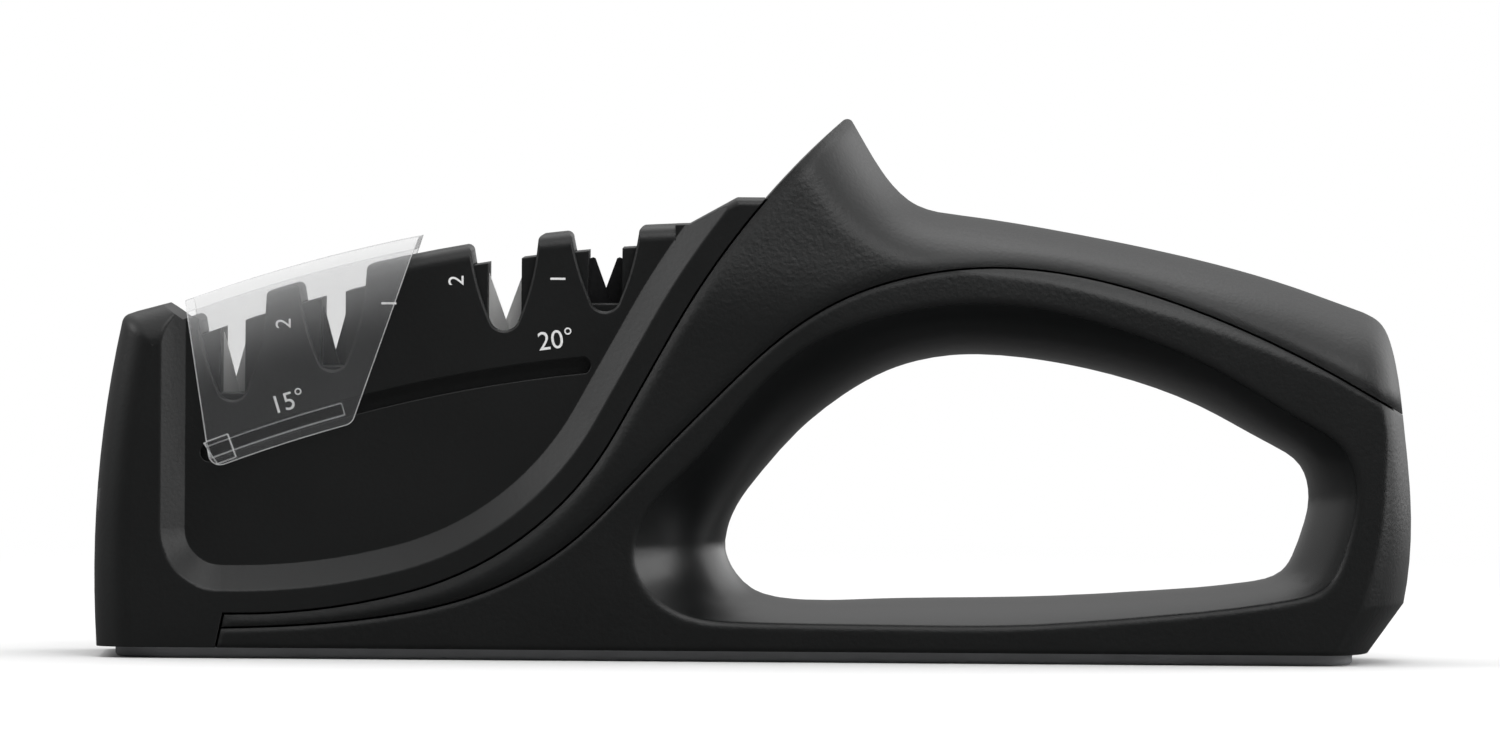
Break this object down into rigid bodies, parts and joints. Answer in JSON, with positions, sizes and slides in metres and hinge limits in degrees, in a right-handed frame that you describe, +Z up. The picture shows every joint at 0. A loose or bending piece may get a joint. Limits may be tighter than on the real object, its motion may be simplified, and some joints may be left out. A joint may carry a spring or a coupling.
{
  "type": "pull through knife sharpener",
  "caption": "Handled pull-through knife sharpener with crossed-plate V slots, a pointed hand guard, a rubber foot and a clear cover that slides along an arc.",
  "frame": {"origin": "on the table, under the middle of the part's length and width", "axes": "+X from the nose towards the handle's end, +Y to the far side, +Z up from the table"},
  "size_m": [0.2153, 0.044, 0.0886],
  "materials": {
    "casing": "fine grain",
    "grip": "fine grain",
    "frame": "satin, glossy rim",
    "pad": "matte",
    "holder": "matte",
    "cover": "clear",
    "stone": "fired, matte",
    "carbide": "ground",
    "screw": "plated"
  },
  "bodies": {
    "sharpener": {"head_casing": "casing", "grip_cover": "grip", "handle_frame": "frame", "base_pad": "pad", "cartridge_near": "holder", "cartridge_far": "holder", "asian_fine_near": "stone", "asian_fine_far": "stone", "asian_coarse_near": "carbide", "asian_coarse_far": "carbide", "standard_fine_near": "stone", "standard_fine_far": "stone", "standard_coarse_near": "carbide", "standard_coarse_far": "carbide", "cartridge_screws": "screw", "head_screws": "screw", "grip_screws": "screw"},
    "cover": {"slide_cover": "cover"}
  },
  "joints": [
    {"name": "cover_slide", "type": "hinge", "parent": "sharpener", "child": "cover", "pos_m": [-0.003, 0, -0.189], "axis": [0, 1, 0], "range_deg": [0, 9.5]}
  ]
}
